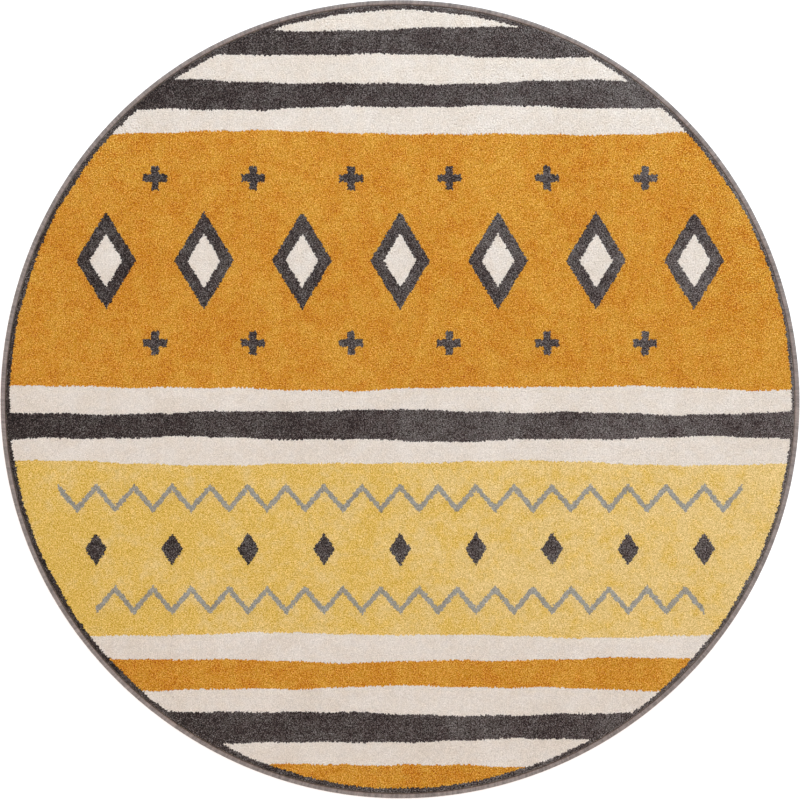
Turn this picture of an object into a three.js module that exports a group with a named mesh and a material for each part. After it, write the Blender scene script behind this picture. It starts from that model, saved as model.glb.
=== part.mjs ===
// A round woven pile rug, lying flat. Millimetres, +Z up, origin on the floor under the middle of the
// rug's extent. The pile and its woven ground are one cloth, and a wound yarn binding closes the cut
// edge all round.
import * as THREE from "three";

// Driving dimensions
const RUG_RADIUS = 800; // to the outside of the binding, on average
const RUG_THICKNESS = 12; // floor to the tips of the pile
const GROUND_THICKNESS = 2.4; // woven ground that runs out into the binding
const BINDING_REACH = 10; // how far the binding runs in from the outside, above and below the ground
const BINDING_WALL = 2.6; // wound yarn outside the cut edge
const BINDING_UNDER = 1.4; // wound yarn below the ground
const BINDING_OVER = 1.8; // wound yarn above the ground
const PILE_LEAN = 2; // how far the outermost pile leans out over the binding
const PILE_CROWN = 12; // width of the rounded shoulder where the pile rises from its edge
const SEAM_GAP = 0.3; // between the cloth and the binding, all along the seam

// The hand-finished edge isn't a true circle: it swells in and out by up to 2 mm.
const EDGE_SWELLS = [
  { lobes: 2, swell: 0.5, turn: -45 },
  { lobes: 4, swell: 0.5, turn: 180 },
  { lobes: 5, swell: 1, turn: -90 },
];

const STEPS_AROUND = 144;
const STEPS_OVER_ROLL = 6; // facets over the binding's rounded outside
const STEPS_OVER_CROWN = 4; // facets over the pile's rounded shoulder

const bindingHeight = BINDING_UNDER + SEAM_GAP + GROUND_THICKNESS + SEAM_GAP + BINDING_OVER;
const groundBottom = BINDING_UNDER + SEAM_GAP;
const groundTop = groundBottom + GROUND_THICKNESS;
const bindingInside = RUG_RADIUS - BINDING_REACH;

// How far the edge stands out from the mean circle at an angle round the rug.
function edgeSwell(angle) {
  return EDGE_SWELLS.reduce(
    (sum, row) => sum + row.swell * Math.cos(row.lobes * angle - THREE.MathUtils.degToRad(row.turn)),
    0,
  );
}

// Turns a profile of (radius, height) points about +Z, and moves each point out or in with the edge.
function turnedAboutZ(profile) {
  const geometry = new THREE.LatheGeometry(profile, STEPS_AROUND);
  geometry.rotateX(Math.PI / 2);
  const place = geometry.getAttribute("position");
  for (let i = 0; i < place.count; i++) {
    const x = place.getX(i);
    const y = place.getY(i);
    const grown = 1 + edgeSwell(Math.atan2(y, x)) / RUG_RADIUS;
    place.setXY(i, x * grown, y * grown);
  }
  geometry.computeVertexNormals();
  return geometry;
}

// Points along an elliptical arc about a centre, from one angle to another, in degrees.
function arc(centre, width, height, from, to, steps) {
  return Array.from({ length: steps + 1 }, (_, i) => {
    const angle = THREE.MathUtils.degToRad(from + ((to - from) * i) / steps);
    return new THREE.Vector2(centre.x + width * Math.cos(angle), centre.y + height * Math.sin(angle));
  });
}

// The cloth: flat underneath, a thin ground in the seam, and pile that leans out over the binding.
function pileCarpet() {
  const seam = bindingInside - SEAM_GAP;
  const groundEdge = RUG_RADIUS - BINDING_WALL - SEAM_GAP;
  const lip = bindingHeight + SEAM_GAP;
  const pileEdge = bindingInside + PILE_LEAN;
  const crown = arc(
    new THREE.Vector2(pileEdge - PILE_CROWN, lip),
    PILE_CROWN,
    RUG_THICKNESS - lip,
    0,
    90,
    STEPS_OVER_CROWN,
  );
  const profile = [
    new THREE.Vector2(0, 0),
    new THREE.Vector2(seam, 0),
    new THREE.Vector2(seam, groundBottom),
    new THREE.Vector2(groundEdge, groundBottom),
    new THREE.Vector2(groundEdge, groundTop),
    new THREE.Vector2(seam, groundTop),
    new THREE.Vector2(seam, lip),
    ...crown,
    new THREE.Vector2(0, RUG_THICKNESS),
  ];
  const material = new THREE.MeshStandardMaterial({ color: 0xcd8c32, roughness: 0.95, metalness: 0 });
  const mesh = new THREE.Mesh(turnedAboutZ(profile), material);
  mesh.name = "pile_carpet";
  return mesh;
}

// The binding: yarn wound over the cut edge, round on the outside, with a leg above and below the ground.
function edgeBinding() {
  const rollRadius = bindingHeight / 2;
  const roll = arc(
    new THREE.Vector2(RUG_RADIUS - rollRadius, rollRadius),
    rollRadius,
    rollRadius,
    -90,
    90,
    STEPS_OVER_ROLL,
  );
  const channel = RUG_RADIUS - BINDING_WALL;
  const profile = [
    new THREE.Vector2(bindingInside, 0),
    ...roll,
    new THREE.Vector2(bindingInside, bindingHeight),
    new THREE.Vector2(bindingInside, bindingHeight - BINDING_OVER),
    new THREE.Vector2(channel, bindingHeight - BINDING_OVER),
    new THREE.Vector2(channel, BINDING_UNDER),
    new THREE.Vector2(bindingInside, BINDING_UNDER),
    new THREE.Vector2(bindingInside, 0),
  ];
  const material = new THREE.MeshStandardMaterial({ color: 0x90847f, roughness: 0.85, metalness: 0 });
  const mesh = new THREE.Mesh(turnedAboutZ(profile), material);
  mesh.name = "edge_binding";
  return mesh;
}

const rug = new THREE.Group();
rug.add(pileCarpet(), edgeBinding());

// The swells push the edge further one way than the other, so the rug moves back over the origin.
const middle = new THREE.Box3().setFromObject(rug).getCenter(new THREE.Vector3());
rug.position.set(-middle.x, -middle.y, 0);

export default rug;
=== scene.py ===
"""A round woven pile rug, lying flat: tufts by yarn colour, the ribbed ground weave and the bound edge.

Metres, +Z up, origin on the floor under the middle of the rug. The stripes run along X.
"""

import math

import bpy
import numpy as np
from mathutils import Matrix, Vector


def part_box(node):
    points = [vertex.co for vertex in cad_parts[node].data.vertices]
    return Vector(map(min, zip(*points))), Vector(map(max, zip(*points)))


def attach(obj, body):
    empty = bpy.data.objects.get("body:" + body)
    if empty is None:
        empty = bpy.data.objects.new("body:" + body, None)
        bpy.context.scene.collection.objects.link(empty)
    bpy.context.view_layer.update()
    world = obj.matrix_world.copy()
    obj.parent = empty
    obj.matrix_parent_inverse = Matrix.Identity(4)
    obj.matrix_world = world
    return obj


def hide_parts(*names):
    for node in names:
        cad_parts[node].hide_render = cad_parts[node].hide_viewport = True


bl_info = {
    "name": "Striped Pile Rug",
    "version": (1, 0, 0),
    "blender": (4, 5, 0),
    "location": "View3D > Sidebar > Rug",
    "description": "Builds a round woven pile rug with stripes, small motifs and a bound edge",
    "category": "Add Mesh",
}

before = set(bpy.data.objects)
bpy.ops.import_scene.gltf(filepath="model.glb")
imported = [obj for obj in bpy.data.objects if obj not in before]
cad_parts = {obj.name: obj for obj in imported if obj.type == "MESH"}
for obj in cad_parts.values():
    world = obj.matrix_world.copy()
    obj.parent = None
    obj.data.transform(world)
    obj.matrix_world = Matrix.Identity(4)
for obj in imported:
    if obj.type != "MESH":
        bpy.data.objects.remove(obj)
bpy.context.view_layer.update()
MM = 0.001

# The rug as built: its heights come from the frame, and its mean radius is its real size.
RUG_RADIUS = 800 * MM
PILE_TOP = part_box("pile_carpet")[1].z
BINDING_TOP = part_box("edge_binding")[1].z
BINDING_REACH = 10 * MM  # from the outside of the binding in to its inner edge
SEAM_GAP = 0.3 * MM  # between the binding's inner edge and the pile
BINDING_INSIDE = RUG_RADIUS - BINDING_REACH
SEAM = BINDING_INSIDE - SEAM_GAP
STEPS_AROUND = 144  # facets round the frame's solids
UV_SPAN = 2.02 * RUG_RADIUS  # the length that fills the UV map, a little more than the rug's width

# The pile: how its tufts stray and are trimmed, and the quarter ellipse over which it falls to its edge
TUFT_STRAY = 0.26  # of the distance between tufts, from a tuft's place on the grid
TIP_STRAY = 0.3 * MM  # of a tip from straight above its tuft
MOST_TRIM = 0.8 * MM  # off a tip
ROOT_DEPTH = 0.3 * MM  # of the roots in the ground
SHOULDER_WIDTH = 12 * MM  # of the quarter ellipse
SHOULDER_PAST = 2 * MM  # from the binding's inner edge out to where the quarter ellipse ends
SHOULDER_FOOT = 0.6 * MM  # from the top of the binding up to where it ends

# How the hand-finished edge swells in and out of a true circle: lobes round the rug, swell and turn.
EDGE_SWELLS = (
    {"lobes": 2, "swell": 0.5 * MM, "turn": -45},
    {"lobes": 4, "swell": 0.5 * MM, "turn": 180},
    {"lobes": 5, "swell": 1.0 * MM, "turn": -90},
)

# The bands from the top edge down. The last one runs on to the bottom edge.
BANDS = (
    {"yarn": "cream", "height": 60 * MM},
    {"yarn": "charcoal", "height": 54 * MM},
    {"yarn": "cream", "height": 52 * MM},
    {"yarn": "charcoal", "height": 52 * MM},
    {"yarn": "cream", "height": 50 * MM},
    {"yarn": "ochre", "height": 510 * MM},
    {"yarn": "cream", "height": 48 * MM},
    {"yarn": "charcoal", "height": 54 * MM},
    {"yarn": "cream", "height": 48 * MM},
    {"yarn": "yellow", "height": 344 * MM},
    {"yarn": "cream", "height": 50 * MM},
    {"yarn": "ochre", "height": 56 * MM},
    {"yarn": "cream", "height": 50 * MM},
    {"yarn": "charcoal", "height": 56 * MM},
    {"yarn": "cream", "height": 50 * MM},
    {"yarn": "ochre", "height": 66 * MM},
)

# A band's upper edge wavers as three sines of X. share is of the stripe waver, rate is in radians to the
# metre and grows by step from one line to the next, starting again after so many lines, and each line
# turns the sine on by turn radians.
WAVER_SINES = (
    {"share": 0.58, "rate": 5.1, "step": 0.7, "again": 3, "turn": 2.4},
    {"share": 0.28, "rate": 13.0, "step": 1.9, "again": 4, "turn": 1.3},
    {"share": 0.14, "rate": 41.0, "step": 3.1, "again": 5, "turn": 4.1},
)

# Rows of small motifs. drop is from the top edge to the row's middle, stroke is a drawn line's width, and
# flip turns the motif upside down.
OCHRE_MIDDLE = 523 * MM
YELLOW_MIDDLE = 1100 * MM
MOTIF_ROWS = (
    {"shape": "lozenge", "yarn": "charcoal", "drop": OCHRE_MIDDLE, "pitch": 196 * MM, "count": 7,
     "width": 120 * MM, "height": 196 * MM, "stroke": 0, "flip": 1},
    {"shape": "lozenge", "yarn": "cream", "drop": OCHRE_MIDDLE, "pitch": 196 * MM, "count": 7,
     "width": 66 * MM, "height": 108 * MM, "stroke": 0, "flip": 1},
    {"shape": "cross", "yarn": "charcoal", "drop": OCHRE_MIDDLE - 165 * MM, "pitch": 196 * MM, "count": 6,
     "width": 48 * MM, "height": 48 * MM, "stroke": 15 * MM, "flip": 1},
    {"shape": "cross", "yarn": "charcoal", "drop": OCHRE_MIDDLE + 165 * MM, "pitch": 196 * MM, "count": 6,
     "width": 48 * MM, "height": 48 * MM, "stroke": 15 * MM, "flip": 1},
    {"shape": "chevron", "yarn": "grey", "drop": YELLOW_MIDDLE - 102 * MM, "pitch": 76 * MM, "count": 18,
     "width": 76 * MM, "height": 44 * MM, "stroke": 15 * MM, "flip": 1},
    {"shape": "chevron", "yarn": "grey", "drop": YELLOW_MIDDLE + 102 * MM, "pitch": 76 * MM, "count": 16,
     "width": 76 * MM, "height": 44 * MM, "stroke": 15 * MM, "flip": -1},
    {"shape": "lozenge", "yarn": "charcoal", "drop": YELLOW_MIDDLE, "pitch": 152 * MM, "count": 9,
     "width": 44 * MM, "height": 66 * MM, "stroke": 0, "flip": 1},
)

# The charcoal border's inner edge wanders in and out: lobes round the rug, share of its depth, and turn.
BORDER_SWELLS = (
    {"lobes": 1, "share": 0.07, "turn": 180},
    {"lobes": 2, "share": 0.08, "turn": 180},
    {"lobes": 9, "share": 0.03, "turn": 40},
    {"lobes": 23, "share": 0.04, "turn": 110},
    {"lobes": 41, "share": 0.03, "turn": 250},
)

YARN_ORDER = ("cream", "charcoal", "ochre", "yellow", "grey")

# One piece for each yarn, and three for the ochre, each within its own drops from the top edge
PILE_PIECES = (
    {"name": "pile_cream", "yarn": "cream", "from_drop": 0, "to_drop": 2 * RUG_RADIUS},
    {"name": "pile_charcoal", "yarn": "charcoal", "from_drop": 0, "to_drop": 2 * RUG_RADIUS},
    {"name": "pile_ochre_upper", "yarn": "ochre", "from_drop": 0, "to_drop": OCHRE_MIDDLE},
    {"name": "pile_ochre_lower", "yarn": "ochre", "from_drop": OCHRE_MIDDLE, "to_drop": RUG_RADIUS},
    {"name": "pile_ochre_stripes", "yarn": "ochre", "from_drop": RUG_RADIUS, "to_drop": 2 * RUG_RADIUS},
    {"name": "pile_yellow", "yarn": "yellow", "from_drop": 0, "to_drop": 2 * RUG_RADIUS},
    {"name": "pile_grey", "yarn": "grey", "from_drop": 0, "to_drop": 2 * RUG_RADIUS},
)

# The binding's two legs, from the inner end of the upper one and to the inner end of the lower one:
# how far short of the binding's reach a point lies, and how far up its height.
UPPER_LEG = (
    {"short": 0, "up": 0.66},
    {"short": 0.5 * MM, "up": 0.88},
    {"short": 2.2 * MM, "up": 0.98},
)
LOWER_LEG = (
    {"short": 0.6 * MM, "up": 0.06},
    {"short": 0, "up": 0.3},
)


def length_property(name, description, default):
    """A length that a user can change, in metres."""
    return bpy.props.FloatProperty(name=name, description=description, default=default, unit="LENGTH")


class RugSizes(bpy.types.PropertyGroup):
    """The sizes that a maker would change."""

    tuft_column: length_property("Tuft column", "Distance between tufts along a row", 3.1 * MM)
    tuft_row: length_property("Tuft row", "Distance between rows of tufts", 2.9 * MM)
    tuft_spread: length_property("Tuft spread", "Radius of a tuft at its root", 5.6 * MM)
    ground_thickness: length_property("Ground thickness", "Thickness of the woven ground", 2.6 * MM)
    border_depth: length_property(
        "Border depth", "From the outside of the binding to the inside of the charcoal border", 19.5 * MM
    )
    stripe_waver: length_property("Stripe waver", "How far a stripe's edge strays from straight", 6.5 * MM)
    yarn_pitch: length_property("Binding yarn pitch", "Distance between turns of the binding yarn", 2.8 * MM)


def colour_property(name, description, default):
    """A colour that a user can change, as linear red, green and blue."""
    return bpy.props.FloatVectorProperty(
        name=name, description=description, default=default, subtype="COLOR", size=3, min=0.0, max=1.0
    )


class RugColours(bpy.types.PropertyGroup):
    """The colours that a maker would change."""

    cream: colour_property("Cream", "Cream pile yarn", (0.764, 0.693, 0.621))
    charcoal: colour_property("Charcoal", "Charcoal pile yarn", (0.103, 0.076, 0.069))
    ochre: colour_property("Ochre", "Ochre pile yarn", (0.63, 0.297, 0.011))
    yellow: colour_property("Yellow", "Mustard yellow pile yarn", (0.761, 0.547, 0.182))
    grey: colour_property("Grey", "Grey pile yarn", (0.38, 0.355, 0.31))
    ground: colour_property("Ground", "Jute of the woven ground", (0.50, 0.41, 0.28))
    binding: colour_property("Binding", "Taupe binding yarn", (0.176, 0.148, 0.135))
    floor: colour_property("Floor", "Pale studio floor", (0.93, 0.93, 0.93))


# The shape of the rug

def edge_growth(angle):
    """1 + sum of swell * cos(lobes * angle - turn) / rug radius, over the rows of EDGE_SWELLS."""
    growth = np.ones_like(angle)
    for row in EDGE_SWELLS:
        growth += row["swell"] / RUG_RADIUS * np.cos(row["lobes"] * angle - math.radians(row["turn"]))
    return growth


def middle_of_extent():
    """The middle of the box round the swollen edge, which the rug moves back over the origin."""
    angle = np.linspace(0, 2 * np.pi, STEPS_AROUND, endpoint=False)
    radius = RUG_RADIUS * edge_growth(angle)
    x = radius * np.cos(angle)
    y = radius * np.sin(angle)
    return (x.max() + x.min()) / 2, (y.max() + y.min()) / 2


MIDDLE_X, MIDDLE_Y = middle_of_extent()


def on_rug(radius, angle):
    """The x and y of a point on the rug: radius * edge growth at that angle, less the middle."""
    grown = radius * edge_growth(angle)
    return grown * np.cos(angle) - MIDDLE_X, grown * np.sin(angle) - MIDDLE_Y


def round_rug(x, y):
    """The reverse of on_rug: the radius and angle that a point would have on a true circle."""
    across = x + MIDDLE_X
    along = y + MIDDLE_Y
    angle = np.arctan2(along, across)
    return np.hypot(across, along) / edge_growth(angle), angle


# The pattern

def waver(x, line, size):
    """A band's edge: size * sum of share * sin(x * (rate + step * (line % again)) + turn * line)."""
    sines = 0
    for row in WAVER_SINES:
        rate = row["rate"] + row["step"] * (line % row["again"])
        sines = sines + row["share"] * np.sin(x * rate + row["turn"] * line)
    return size * sines


def band_yarns(x, y, size):
    """The yarn number of the band at each point: counts the wavering edges that lie above it."""
    top = RUG_RADIUS
    yarn = np.full(x.shape, YARN_ORDER.index(BANDS[0]["yarn"]))
    for line, band in enumerate(BANDS[:-1]):
        top -= band["height"]
        below = y < top + waver(x, line, size)
        yarn[below] = YARN_ORDER.index(BANDS[line + 1]["yarn"])
    return yarn


def in_motif(row, across, up):
    """True where a point (across, up) from a motif's middle lies in it.

    lozenge: |across| / half width + |up| / half height < 1. cross: within half a stroke of either arm.
    chevron: within half a stroke of the line up = height * (|across| / half width - 0.5).
    """
    half_width = row["width"] / 2
    half_height = row["height"] / 2
    half_stroke = row["stroke"] / 2
    if row["shape"] == "lozenge":
        return np.abs(across) / half_width + np.abs(up) / half_height < 1
    if row["shape"] == "chevron":
        return np.abs(up - row["height"] * (np.abs(across) / half_width - 0.5)) < half_stroke
    upright = (np.abs(across) < half_stroke) & (np.abs(up) < half_height)
    level = (np.abs(up) < half_stroke) & (np.abs(across) < half_width)
    return upright | level


def row_of_motifs(row, x, y):
    """True where a point lies in a motif of the row: the nearest motif's middle is worked out first."""
    first = -(row["count"] - 1) / 2 * row["pitch"]
    number = np.clip(np.rint((x - first) / row["pitch"]), 0, row["count"] - 1)
    across = x - (first + number * row["pitch"])
    up = row["flip"] * (y - (RUG_RADIUS - row["drop"]))
    return in_motif(row, across, up) & (np.abs(across) <= row["width"] / 2)


def border_depth(angle, depth):
    """How far in the border reaches: depth * (1 + sum of share * cos(lobes * angle - turn))."""
    share = np.ones_like(angle)
    for row in BORDER_SWELLS:
        share += row["share"] * np.cos(row["lobes"] * angle - math.radians(row["turn"]))
    return depth * share


def yarn_of(x, y, sizes):
    """The yarn number of each tuft: its band, then a motif over it, then the charcoal border."""
    yarn = band_yarns(x, y, sizes.stripe_waver)
    for row in MOTIF_ROWS:
        yarn[row_of_motifs(row, x, y)] = YARN_ORDER.index(row["yarn"])
    radius, angle = round_rug(x, y)
    yarn[radius > RUG_RADIUS - border_depth(angle, sizes.border_depth)] = YARN_ORDER.index("charcoal")
    return yarn


# Meshes

def mesh_piece(name, vertices, face_groups, corner_uv, tones=None):
    """One object from whole arrays.

    vertices is (n, 3), face_groups are arrays of faces with one length each, corner_uv has a row for each
    corner of a face, and tones names a number for each vertex.
    """
    mesh = bpy.data.meshes.new(name)
    mesh.vertices.add(len(vertices))
    mesh.vertices.foreach_set("co", np.ascontiguousarray(vertices, np.float32).ravel())
    corners = np.concatenate([faces.ravel() for faces in face_groups]).astype(np.int32)
    lengths = np.concatenate([np.full(len(faces), faces.shape[1]) for faces in face_groups])
    starts = np.concatenate(([0], np.cumsum(lengths)[:-1])).astype(np.int32)
    mesh.loops.add(len(corners))
    mesh.loops.foreach_set("vertex_index", corners)
    mesh.polygons.add(len(starts))
    mesh.polygons.foreach_set("loop_start", starts)
    mesh.polygons.foreach_set("use_smooth", np.ones(len(starts), bool))
    mesh.update(calc_edges=True)
    uv_layer = mesh.uv_layers.new(name="OFBake")
    uv_layer.data.foreach_set("uv", np.ascontiguousarray(corner_uv, np.float32).ravel())
    for tone_name, values in (tones or {}).items():
        attribute = mesh.attributes.new(tone_name, "FLOAT", "POINT")
        attribute.data.foreach_set("value", np.ascontiguousarray(values, np.float32))
    piece = bpy.data.objects.new(name, mesh)
    bpy.context.scene.collection.objects.link(piece)
    return piece


def strip_faces(rows, columns, closed_rows=False, closed_columns=False):
    """Quads of a grid whose vertex (row, column) is number row * columns + column."""
    row = np.arange(rows if closed_rows else rows - 1)
    column = np.arange(columns if closed_columns else columns - 1)
    row, column = np.meshgrid(row, column, indexing="ij")
    next_row = (row + 1) % rows
    next_column = (column + 1) % columns
    corners = (
        row * columns + column,
        row * columns + next_column,
        next_row * columns + next_column,
        next_row * columns + column,
    )
    return np.stack(corners, axis=2).reshape(-1, 4)


# The pile

def tuft_places(sizes, rng):
    """Every tuft's place: staggered rows, each tuft strayed a little, and a last round close to the seam.

    The last round stands rows_to_seam rows in from the seam, and the tufts on the grid end
    rows_to_last_round rows short of it.
    """
    rows_to_seam = 0.65
    rows_to_last_round = 0.4
    columns = int(RUG_RADIUS / sizes.tuft_column) + 1
    rows = int(RUG_RADIUS / sizes.tuft_row) + 1
    column, row = np.meshgrid(np.arange(-columns, columns + 1), np.arange(-rows, rows + 1))
    x = (column + 0.5 * (row % 2)).ravel() * sizes.tuft_column
    y = row.ravel() * sizes.tuft_row
    x = x + rng.normal(0, TUFT_STRAY * sizes.tuft_column, x.size)
    y = y + rng.normal(0, TUFT_STRAY * sizes.tuft_row, y.size)
    radius, _ = round_rug(x, y)
    last_round = SEAM - rows_to_seam * sizes.tuft_row
    inside = radius < last_round - rows_to_last_round * sizes.tuft_row
    around = int(2 * math.pi * last_round / sizes.tuft_column)
    angle = np.arange(around) / around * 2 * np.pi
    seam_x, seam_y = on_rug(np.full(around, last_round), angle)
    return np.concatenate((x[inside], seam_x)), np.concatenate((y[inside], seam_y))


def tuft_tops(x, y, rng):
    """The tip of each tuft: its place, plus its own small stray.

    Height = pile top less a random trim, and over the shoulder's width a quarter ellipse down to its foot.
    """
    radius, _ = round_rug(x, y)
    foot = BINDING_TOP + SHOULDER_FOOT
    shoulder_start = BINDING_INSIDE + SHOULDER_PAST - SHOULDER_WIDTH
    from_shoulder = np.clip((radius - shoulder_start) / SHOULDER_WIDTH, 0, 1)
    crown = foot + (PILE_TOP - foot) * np.sqrt(1 - from_shoulder**2)
    trim = rng.uniform(0, MOST_TRIM, x.size)
    tip_x = x + rng.normal(0, TIP_STRAY, x.size)
    tip_y = y + rng.normal(0, TIP_STRAY, x.size)
    return np.stack((tip_x, tip_y, crown - trim), axis=1)


def tuft_roots(x, y, sizes, rng):
    """Three roots to a tuft: spread * (cos, sin) of a random turn plus 120 degrees each, just in the ground.

    A root past the seam is drawn back to it along its own radius.
    """
    turn = rng.uniform(0, 2 * np.pi, x.size)[:, None] + np.arange(3) * 2 * np.pi / 3
    root_x = x[:, None] + sizes.tuft_spread * np.cos(turn)
    root_y = y[:, None] + sizes.tuft_spread * np.sin(turn)
    radius, angle = round_rug(root_x, root_y)
    held_x, held_y = on_rug(np.minimum(radius, SEAM), angle)
    root_z = np.full_like(held_x, sizes.ground_thickness - ROOT_DEPTH)
    return np.stack((held_x, held_y, root_z), axis=2)


def pile_piece(name, tops, roots, sizes, rng):
    """A joined mesh of three-sided tufts. Each one has its own small patch of the UV map, at its place."""
    rows_to_patch = 0.3
    count = len(tops)
    vertices = np.concatenate((roots, tops[:, None, :]), axis=1).reshape(-1, 3)
    sides = np.array(((0, 1, 3), (1, 2, 3), (2, 0, 3)))
    faces = (np.arange(count)[:, None, None] * 4 + sides).reshape(-1, 3)
    middle = roots[:, :, :2].mean(1)
    patch = rows_to_patch * sizes.tuft_row / sizes.tuft_spread
    uv = middle[:, None, :] + (vertices.reshape(count, 4, 3)[:, :, :2] - middle[:, None, :]) * patch
    uv[:, 3, :] = middle
    uv = 0.5 + uv.reshape(-1, 2) / UV_SPAN
    tones = {
        "tuft_tone": np.repeat(rng.uniform(0, 1, count), 4),
        # 0 at the roots and 1 at the tip; the finish paints shade down the tuft from it
        "tuft_tip": np.tile((0.0, 0.0, 0.0, 1.0), count),
    }
    return mesh_piece(name, vertices, [faces], uv[faces.ravel()], tones)


# The ground weave

def ground_weave(sizes):
    """A closed cloth of chords along X, one loop of points to a chord, and the end loops filled.

    Row y runs from -half to +half, half = sqrt(radius^2 - y^2), and the cloth is tucked in a little past
    the binding's inner edge. The underside rises between the ribs as depth * (1 - cos(2 pi y / tuft row))
    / 2, and the upper side is flat.
    """
    tucked_in = 0.5 * MM
    end_room = 0.4 * MM
    depth = 0.5 * MM
    radius = BINDING_INSIDE + tucked_in
    last_row = radius - end_room
    rows_to_rib = 4
    under_columns = 9
    rows = int(2 * radius / sizes.tuft_row) * rows_to_rib + 1
    y = np.linspace(-last_row, last_row, rows)[:, None]
    half = np.sqrt(radius**2 - y**2)
    rise = depth * (1 - np.cos(2 * np.pi * y / sizes.tuft_row)) / 2
    under_x = half * np.linspace(-1, 1, under_columns)[None, :]
    under_z = np.broadcast_to(rise, under_x.shape)
    top_x = np.concatenate((half, -half), axis=1)
    top_z = np.full_like(top_x, sizes.ground_thickness)
    loop_x = np.concatenate((under_x, top_x), axis=1)
    loop_z = np.concatenate((under_z, top_z), axis=1)
    place_x, place_y = on_rug(np.hypot(loop_x, y), np.arctan2(np.broadcast_to(y, loop_x.shape), loop_x))
    vertices = np.stack((place_x, place_y, loop_z), axis=2).reshape(-1, 3)
    columns = under_columns + 2
    faces = strip_faces(rows, columns, closed_columns=True)[:, ::-1]
    first_end = np.arange(columns)[None, :]
    last_end = (rows - 1) * columns + np.arange(columns)[None, ::-1]
    flat_uv = 0.5 + vertices[:, :2] / UV_SPAN
    groups = [faces, first_end, last_end]
    corner_uv = np.concatenate([flat_uv[group.ravel()] for group in groups])
    return mesh_piece("ground_weave", vertices, groups, corner_uv)


# The edge binding

def leg_points(rows):
    """The points (in from the outside, up) of one leg of the binding."""
    return np.array([(BINDING_REACH - row["short"], row["up"] * BINDING_TOP) for row in rows])


def binding_section():
    """The wound edge's outline from above the ground, over the outside and back under it.

    Points (in from the outside, up): a rounded roll of half the binding's height, flat below, with a leg
    that reaches in over the ground, falling towards the seam, and one under it. It closes on itself.
    """
    roll_points = 7
    roll = BINDING_TOP / 2
    turn = np.radians(np.linspace(90, -90, roll_points))
    inward = roll - roll * np.cos(turn)
    up = roll + roll * np.sin(turn)
    return np.concatenate((leg_points(UPPER_LEG), np.stack((inward, up), axis=1), leg_points(LOWER_LEG)))


def strip_uv(columns, points, strips):
    """A UV for each corner of a closed tube, cut round its length into strips that lie one above another.

    u = share of the strip's columns. v = (number of the strip + margin + share round the section, within
    the margins) / strips.
    """
    margin = 0.04
    column = np.arange(columns)[:, None, None]
    place = np.arange(points)[None, :, None]
    step_column = np.array((0, 0, 1, 1))
    step_place = np.array((0, 1, 1, 0))
    to_strip = columns // strips
    uv = np.empty((columns, points, 4, 2))
    uv[..., 0] = (column % to_strip + step_column) / to_strip
    uv[..., 1] = (column // to_strip + margin + (1 - 2 * margin) * (place + step_place) / points) / strips
    return uv.reshape(-1, 2)


def edge_binding(sizes):
    """Yarn wound round the edge: the section carried round the rug, drawn in between the turns of yarn.

    number = column / columns to a turn + slant, which runs from -0.5 to 0.5 along the section. A point
    sinks towards the heart of the section by crest * (1 - |sin(pi * number)| ** roundness).
    """
    crest = 0.45 * MM
    roundness = 0.7
    heart_in = 4.2 * MM
    heart_up = BINDING_TOP / 2
    columns_to_turn = 4
    strips = 16
    section = binding_section()
    points = len(section)
    turns = int(round(2 * math.pi * RUG_RADIUS / sizes.yarn_pitch / strips)) * strips
    columns = turns * columns_to_turn
    angle = (np.arange(columns) / columns * 2 * np.pi)[:, None]
    slant = np.linspace(-0.5, 0.5, points)[None, :]
    number = np.arange(columns)[:, None] / columns_to_turn + slant
    hump = np.abs(np.sin(np.pi * number)) ** roundness
    inward = section[None, :, 0]
    up = section[None, :, 1]
    away = np.hypot(inward - heart_in, up - heart_up)
    sink = crest * (1 - hump)
    sunk_in = inward - (inward - heart_in) / away * sink
    sunk_up = up - (up - heart_up) / away * sink
    x, y = on_rug(RUG_RADIUS - sunk_in, np.broadcast_to(angle, sunk_in.shape))
    vertices = np.stack((x, y, sunk_up), axis=2).reshape(-1, 3)
    faces = strip_faces(columns, points, closed_rows=True, closed_columns=True)
    rng = np.random.default_rng(2)
    turn_tone = rng.uniform(0, 1, turns + 2)[(np.floor(number) % turns).astype(int)]
    tones = {
        "yarn_crest": hump.ravel(),
        "turn_tone": turn_tone.ravel(),
        "seam_side": np.broadcast_to(inward / BINDING_REACH, hump.shape).ravel(),
    }
    return mesh_piece("edge_binding_yarn", vertices, [faces], strip_uv(columns, points, strips), tones)


# Shader maths

# A Mix node's colour sockets by number, because it has sockets of the same names for other kinds of data
MIX_FACTOR = 0
MIX_FIRST = 6
MIX_SECOND = 7
MIX_RESULT = 2


class Maths:
    """A material's socket. + - * and ** on a number add Math nodes.

    A colour goes through mix and scaled instead, because a Math node turns it grey.
    """

    def __init__(self, finish, socket):
        self.finish = finish
        self.socket = socket

    def _by(self, operation, first, second):
        return self.finish.node("ShaderNodeMath", {"operation": operation}, {0: first, 1: second})

    def __add__(self, other):
        return self._by("ADD", self, other)

    def __radd__(self, other):
        return self._by("ADD", other, self)

    def __sub__(self, other):
        return self._by("SUBTRACT", self, other)

    def __rsub__(self, other):
        return self._by("SUBTRACT", other, self)

    def __mul__(self, other):
        return self._by("MULTIPLY", self, other)

    def __rmul__(self, other):
        return self._by("MULTIPLY", other, self)

    def __pow__(self, other):
        return self._by("POWER", self, other)

    def __rpow__(self, other):
        return self._by("POWER", other, self)

    def at_least(self, lowest):
        return self._by("MAXIMUM", self, lowest)


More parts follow.
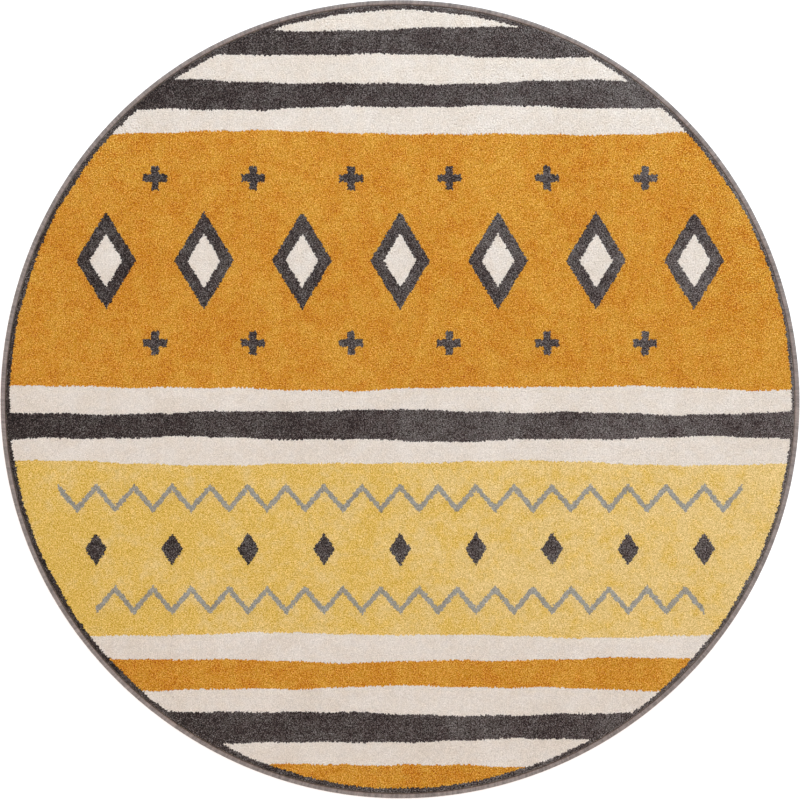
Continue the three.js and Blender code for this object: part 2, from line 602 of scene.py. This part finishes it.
class Finish:
    """A material being made. node() adds any node, and the rest are short forms of it."""

    def __init__(self, name, roughness, shine):
        self.material = bpy.data.materials.new(name)
        self.material.use_nodes = True
        self.tree = self.material.node_tree
        self.shader = self.tree.nodes["Principled BSDF"]
        self.shader.inputs["Roughness"].default_value = roughness
        self.shader.inputs["Specular IOR Level"].default_value = shine

    def node(self, kind, settings=None, inputs=None, output=0):
        """Adds a node: its settings come first, then the values or links of its sockets."""
        node = self.tree.nodes.new(kind)
        for name, value in (settings or {}).items():
            setattr(node, name, value)
        for name, value in (inputs or {}).items():
            self.feed(node.inputs[name], value)
        return Maths(self, node.outputs[output])

    def feed(self, socket, value):
        """Links a socket to another, or sets its own value."""
        if isinstance(value, Maths):
            self.tree.links.new(value.socket, socket)
        elif hasattr(value, "__len__") and len(value) == 3 and socket.type == "RGBA":
            socket.default_value = (*value, 1.0)
        elif socket.type == "VECTOR" and not hasattr(value, "__len__"):
            socket.default_value = (value, value, value)
        else:
            socket.default_value = value

    def place(self, scale=(1.0, 1.0, 1.0)):
        """Object coordinates, scaled by a Mapping node."""
        coordinates = self.node("ShaderNodeTexCoord", output="Object")
        return self.node("ShaderNodeMapping", None, {"Vector": coordinates, "Scale": scale})

    def noise(self, scale, detail, stretch=(1.0, 1.0, 1.0)):
        """Noise from 0 to 1, mostly near a half, scale repeats to the metre."""
        inputs = {"Vector": self.place(stretch), "Scale": scale, "Detail": detail}
        return self.node("ShaderNodeTexNoise", None, inputs)

    def attribute(self, name):
        """A number that the piece's mesh holds for each vertex."""
        return self.node("ShaderNodeAttribute", {"attribute_name": name}, None, "Fac")

    def mix(self, factor, first, second):
        """The colour between two colours at a factor."""
        settings = {"data_type": "RGBA", "clamp_factor": True}
        inputs = {MIX_FACTOR: factor, MIX_FIRST: first, MIX_SECOND: second}
        return self.node("ShaderNodeMix", settings, inputs, MIX_RESULT)

    def scaled(self, colour, gain, added=0.0):
        """A colour times a number, plus another colour or nothing."""
        inputs = {0: colour, 1: gain, 2: added}
        return self.node("ShaderNodeVectorMath", {"operation": "MULTIPLY_ADD"}, inputs)

    def bump(self, height, strength, distance):
        """Feeds the shader's normal from a height."""
        inputs = {"Height": height, "Strength": strength, "Distance": distance}
        normal = self.node("ShaderNodeBump", None, inputs, "Normal")
        self.feed(self.shader.inputs["Normal"], normal)


def shade(colour, by):
    """A colour made lighter or darker: each part times by, held under 1."""
    return tuple(min(part * by, 1.0) for part in colour)


def tint(colour, red, green, blue):
    """A colour with each part times its own number, held under 1."""
    return (min(colour[0] * red, 1.0), min(colour[1] * green, 1.0), min(colour[2] * blue, 1.0))


# Finishes

# stray, speckle, cluster and cloud are how far tone varies from tuft to tuft, fibre to fibre, over a few
# tufts and over a hand's breadth: partly the yarn's own random tone, partly painted glints and painted
# shade between fibres. skew above 1 makes light tufts rarer, and painted_gap_shade is the painted shade in
# the gaps between tufts. warm and cool are the two ends of the drift in dye. lighter_to_plus_x is how much
# lighter the yarn gets towards the +X edge, and shift how far its colour drifts to cool there.
YARN_LOOKS = {
    "cream": {"stray": 0.03, "skew": 1.0, "speckle": 0.54, "cluster": 0.12, "cloud": 0.11, "painted_gap_shade": 0.97,
              "lighter_to_plus_x": 0.0, "shift": 0.0, "warm": (1.01, 1.0, 0.985), "cool": (0.99, 1.0, 1.015)},
    "charcoal": {"stray": 0.16, "skew": 2.0, "speckle": 1.27, "cluster": 0.24, "cloud": 0.31, "painted_gap_shade": 0.6,
                 "lighter_to_plus_x": 0.09, "shift": 0.0, "warm": (1.05, 0.985, 1.0), "cool": (0.96, 1.015, 0.985)},
    "ochre": {"stray": 0.06, "skew": 1.0, "speckle": 1.12, "cluster": 0.09, "cloud": 0.12, "painted_gap_shade": 0.95,
              "lighter_to_plus_x": 0.0, "shift": 0.1, "warm": (1.0, 0.935, 0.3), "cool": (1.0, 1.065, 1.7)},
    "yellow": {"stray": 0.045, "skew": 1.0, "speckle": 0.98, "cluster": 0.09, "cloud": 0.065, "painted_gap_shade": 0.95,
               "lighter_to_plus_x": 0.02, "shift": 0.5, "warm": (1.0, 0.963, 0.73), "cool": (1.0, 1.037, 1.27)},
    "grey": {"stray": 0.14, "skew": 1.0, "speckle": 0.65, "cluster": 0.14, "cloud": 0.09, "painted_gap_shade": 0.85,
             "lighter_to_plus_x": 0.025, "shift": 0.0, "warm": (1.02, 1.0, 0.97), "cool": (0.98, 1.0, 1.03)},
}

# In every yarn: how pale a painted glint is beside its dye, the least share of the colour that is left in
# shade, and how much each of three noises drifts the dye.
GLINT_POWER = 0.2
DARKEST_SHARE = 1 / 12
SLOW_DRIFT = 2.6
SLOWER_DRIFT = 1.4
SPOT_DRIFT = 1.8

# The binding's tone starts at low, the painted shade in the grooves between turns, and
# changes by crest from groove to crest, by turn from turn to turn, by fibre and patch over those noises,
# and by pile at the seam, where it is painted lighter against the shade of the pile beside it. It never
# falls under least. browner is the tint at the seam, which to_seam and in_patch drift it towards.
BINDING_LOOK = {"low": 0.6, "crest": 0.35, "turn": 0.45, "fibre": 0.9, "patch": 0.5, "pile": 0.25,
                "least": 0.1, "browner": (1.05, 0.95, 0.93), "to_seam": 1.4, "in_patch": 0.8}


def pile_finish(yarn, colour):
    """Cut pile: tufts and their fibres stray in tone, slow clouds drift in dye, gaps get painted shade.

    grain_and_glint = stray * (tuft's own number ** skew, less its mean) + speckle * (fibre noise - 0.5)
    + cluster * (noise of a few tufts - 0.5) + cloud * (two slow noises - 1) + lighter_to_plus_x * across,
    where across is -1 at the -X edge and 1 at the +X edge. It is partly the yarn's own random tone, partly
    painted glints and painted shade between fibres. The light that fibres catch is painted as a glint, more
    pale than the dye, so Base = (dyed + grain_and_glint * colour ** GLINT_POWER) * depth, and never under
    DARKEST_SHARE of the colour.
    depth, painted shade between tufts, runs from painted_gap_shade, at the height where neighbours meet,
    to 1 at the tip. dyed runs from warm to cool as drift, the sum of three noises and shift * across, goes
    from 0 to 1.
    """
    row = YARN_LOOKS[yarn]
    finish = Finish("pile_" + yarn, roughness=0.8, shine=0.25)
    tone = finish.attribute("tuft_tone")
    tip = finish.attribute("tuft_tip")
    across = finish.node("ShaderNodeSeparateXYZ", None, {"Vector": finish.place()}, "X") * (1 / RUG_RADIUS)
    fibres = finish.noise(scale=430.0, detail=0.0)
    few_tufts = finish.noise(scale=110.0, detail=1.0)
    dye_spots = finish.noise(scale=75.0, detail=1.0)
    slow = finish.noise(scale=34.0, detail=2.0)
    slower = finish.noise(scale=7.0, detail=2.0)
    # the yarn's random tone, with painted glints and painted shade between fibres
    grain_and_glint = (tone ** row["skew"] - 1 / (row["skew"] + 1)) * row["stray"]
    grain_and_glint = grain_and_glint + (fibres - 0.5) * row["speckle"] + (few_tufts - 0.5) * row["cluster"]
    # lighter towards the +X edge and darker towards the -X edge
    grain_and_glint = grain_and_glint + (slow + slower - 1) * row["cloud"] + across * row["lighter_to_plus_x"]
    # painted shade: darker down towards the roots, in the gaps between tufts
    depth = (tip * 2 - 1).at_least(0.0) * (1 - row["painted_gap_shade"]) + row["painted_gap_shade"]
    drift = (slow - 0.5) * SLOW_DRIFT + (slower - 0.5) * SLOWER_DRIFT + (dye_spots - 0.5) * SPOT_DRIFT
    drift = drift + across * row["shift"] + 0.5
    dyed = finish.mix(drift, tint(colour, *row["warm"]), tint(colour, *row["cool"]))
    # painted glints: the variation is added in a colour more pale than the dye
    painted_glint_colour = tuple(part**GLINT_POWER for part in colour)
    lit = finish.scaled(finish.scaled(painted_glint_colour, grain_and_glint, dyed), depth)
    darkest = {0: lit, 1: shade(colour, DARKEST_SHARE)}
    base = finish.node("ShaderNodeVectorMath", {"operation": "MAXIMUM"}, darkest)
    finish.feed(finish.shader.inputs["Base Color"], base)
    finish.shader.inputs["Sheen Weight"].default_value = 0.08
    finish.shader.inputs["Sheen Roughness"].default_value = 0.5
    finish.bump(finish.noise(scale=1100.0, detail=1.0), strength=0.25, distance=0.6 * MM)
    return finish.material


def ground_finish(colour):
    """Ribbed jute, from a darker to a lighter shade as tone goes from 0 to 1.

    tone = 0.5 + slub share * (noise drawn out along the ribs - 0.5) + patch share * (slow noise - 0.5).
    """
    slub_share = 1.4
    patch_share = 0.5
    darker = shade(colour, 0.65)
    lighter = shade(colour, 1.25)
    finish = Finish("woven_ground", roughness=0.9, shine=0.2)
    slubs = finish.noise(scale=260.0, detail=3.0, stretch=(0.25, 2.0, 1.0))
    patches = finish.noise(scale=6.0, detail=2.0)
    tone = 0.5 + (slubs - 0.5) * slub_share + (patches - 0.5) * patch_share
    base = finish.mix(tone, darker, lighter)
    finish.feed(finish.shader.inputs["Base Color"], base)
    finish.bump(slubs, strength=0.5, distance=0.5 * MM)
    return finish.material


def binding_finish(colour):
    """Wound yarn: turns a little lighter or darker, painted shade in the grooves, browner by the pile, and
    painted light there against the pile's shade.

    by_pile is 0 over the outer half of the binding and rises to 1 at the seam. Base = dyed * gain, where
    gain = low + crest * yarn crest + turn * (turn's own number - 0.5) + fibre * (fibre
    noise - 0.5) + patch * (patch noise - 0.5) + pile * by_pile ** 2, and never under least.
    """
    look = BINDING_LOOK
    finish = Finish("binding_yarn", roughness=0.65, shine=0.35)
    crest = finish.attribute("yarn_crest")
    turn_tone = finish.attribute("turn_tone")
    by_pile = (finish.attribute("seam_side") * 2 - 1).at_least(0.0)
    fibres = finish.noise(scale=560.0, detail=1.0)
    patches = finish.noise(scale=60.0, detail=2.0)
    # painted shade in the grooves between turns, lighter on the crests
    gain = look["low"] + crest * look["crest"] + (turn_tone - 0.5) * look["turn"]
    gain = gain + (fibres - 0.5) * look["fibre"] + (patches - 0.5) * look["patch"]
    # painted light by the seam, against the shade of the pile beside it
    gain = gain + by_pile**2 * look["pile"]
    drift = by_pile * look["to_seam"] + (patches - 0.5) * look["in_patch"]
    dyed = finish.mix(drift, colour, tint(colour, *look["browner"]))
    base = finish.scaled(dyed, gain.at_least(look["least"]))
    finish.feed(finish.shader.inputs["Base Color"], base)
    finish.shader.inputs["Sheen Weight"].default_value = 0.1
    finish.bump(fibres, strength=0.35, distance=0.4 * MM)
    return finish.material


# The stage

def make_floor(colour):
    """A wide flat floor under the rug."""
    half = 30.0
    vertices = np.array(((-half, -half, 0), (half, -half, 0), (half, half, 0), (-half, half, 0)))
    corner_uv = np.array(((0, 0), (1, 0), (1, 1), (0, 1)))
    floor = mesh_piece("studio_floor", vertices, [np.array(((0, 1, 2, 3),))], corner_uv)
    finish = Finish("studio_floor", roughness=0.9, shine=0.1)
    cloud = finish.noise(scale=0.8, detail=2.0)
    finish.feed(finish.shader.inputs["Base Color"], finish.mix(cloud, shade(colour, 0.99), colour))
    floor.data.materials.append(finish.material)


def make_lights():
    """An even warm white dome, and one large soft lamp, cooler, high beyond the top right of the rug."""
    world = bpy.data.worlds.new("studio")
    world.use_nodes = True
    background = world.node_tree.nodes["Background"]
    background.inputs["Color"].default_value = (1.0, 0.924, 0.890, 1.0)
    background.inputs["Strength"].default_value = 1.465
    bpy.context.scene.world = world
    lamp = bpy.data.lights.new("soft_key", "AREA")
    lamp.shape = "DISK"
    lamp.size = 2.1
    lamp.color = (0.647, 0.856, 1.0)
    lamp.energy = 173.0
    key = bpy.data.objects.new("soft_key", lamp)
    key.location = (1.3, 3.5, 2.8)
    aim = -key.location
    key.rotation_euler = aim.to_track_quat("-Z", "Y").to_euler()
    bpy.context.scene.collection.objects.link(key)


def make_camera():
    """Straight above: the rug's mean radius fills rug_half of the picture's 400 pixel half width."""
    image_half = 400.0
    rug_half = 399.65
    centre_column = 399.58
    centre_row = 398.12
    sensor = 36.0
    lens = 85.0
    metres_to_pixel = RUG_RADIUS / rug_half
    height = RUG_RADIUS * image_half / rug_half * lens / (sensor / 2) + BINDING_TOP / 2
    camera_data = bpy.data.cameras.new("camera")
    camera_data.sensor_width = sensor
    camera_data.lens = lens
    camera = bpy.data.objects.new("camera", camera_data)
    x = -MIDDLE_X + (image_half - 0.5 - centre_column) * metres_to_pixel
    y = -MIDDLE_Y - (image_half - 0.5 - centre_row) * metres_to_pixel
    camera.location = (x, y, height)
    bpy.context.scene.collection.objects.link(camera)
    bpy.context.scene.camera = camera
    bpy.context.scene.view_settings.view_transform = "Standard"


# Operators, one for each piece or group of like pieces

class RUG_OT_pile(bpy.types.Operator):
    """Sets every tuft on the loom's grid in its yarn, in one piece for each row of PILE_PIECES."""

    bl_idname = "rug.pile"
    bl_label = "Pile"

    def execute(self, context):
        sizes = context.scene.rug_sizes
        colours = context.scene.rug_colours
        rng = np.random.default_rng(1)
        x, y = tuft_places(sizes, rng)
        yarn = yarn_of(x, y, sizes)
        tops = tuft_tops(x, y, rng)
        roots = tuft_roots(x, y, sizes, rng)
        finishes = {name: pile_finish(name, tuple(getattr(colours, name))) for name in YARN_ORDER}
        drop = RUG_RADIUS - y
        for row in PILE_PIECES:
            in_drops = (drop >= row["from_drop"]) & (drop < row["to_drop"])
            chosen = (yarn == YARN_ORDER.index(row["yarn"])) & in_drops
            piece = pile_piece(row["name"], tops[chosen], roots[chosen], sizes, rng)
            piece.data.materials.append(finishes[row["yarn"]])
            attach(piece, "root")
            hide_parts("pile_carpet")
        return {"FINISHED"}


class RUG_OT_ground_weave(bpy.types.Operator):
    """Weaves the ground: a thin closed cloth with a ribbed underside, out to the binding."""

    bl_idname = "rug.ground_weave"
    bl_label = "Ground weave"

    def execute(self, context):
        piece = ground_weave(context.scene.rug_sizes)
        piece.data.materials.append(ground_finish(tuple(context.scene.rug_colours.ground)))
        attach(piece, "root")
        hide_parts("pile_carpet")
        return {"FINISHED"}


class RUG_OT_edge_binding(bpy.types.Operator):
    """Winds the binding yarn over the cut edge, all round the rug."""

    bl_idname = "rug.edge_binding"
    bl_label = "Edge binding"

    def execute(self, context):
        piece = edge_binding(context.scene.rug_sizes)
        piece.data.materials.append(binding_finish(tuple(context.scene.rug_colours.binding)))
        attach(piece, "root")
        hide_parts("edge_binding")
        return {"FINISHED"}


class RUG_OT_stage(bpy.types.Operator):
    """Lays a pale floor, lights it from a dome and a lamp, and sets the camera straight above the rug."""

    bl_idname = "rug.stage"
    bl_label = "Stage"

    def execute(self, context):
        make_floor(tuple(context.scene.rug_colours.floor))
        make_lights()
        make_camera()
        return {"FINISHED"}


class RUG_PT_panel(bpy.types.Panel):
    """Lists the rug's sizes, colours and steps in the sidebar."""

    bl_idname = "RUG_PT_panel"
    bl_label = "Striped Pile Rug"
    bl_space_type = "VIEW_3D"
    bl_region_type = "UI"
    bl_category = "Rug"

    def draw(self, context):
        layout = self.layout
        for group in (context.scene.rug_sizes, context.scene.rug_colours):
            for name in group.__annotations__:
                layout.prop(group, name)
        for operator in OPERATORS:
            layout.operator(operator.bl_idname)


OPERATORS = (RUG_OT_pile, RUG_OT_edge_binding, RUG_OT_ground_weave, RUG_OT_stage)
CLASSES = (RugSizes, RugColours, *OPERATORS, RUG_PT_panel)


def register():
    for cls in CLASSES:
        bpy.utils.register_class(cls)
    bpy.types.Scene.rug_sizes = bpy.props.PointerProperty(type=RugSizes)
    bpy.types.Scene.rug_colours = bpy.props.PointerProperty(type=RugColours)


def unregister():
    del bpy.types.Scene.rug_colours
    del bpy.types.Scene.rug_sizes
    for cls in reversed(CLASSES):
        bpy.utils.unregister_class(cls)


def main():
    register()
    bpy.ops.rug.pile()
    bpy.ops.rug.edge_binding()
    bpy.ops.rug.ground_weave()
    bpy.ops.rug.stage()


if __name__ == "__main__":
    main()
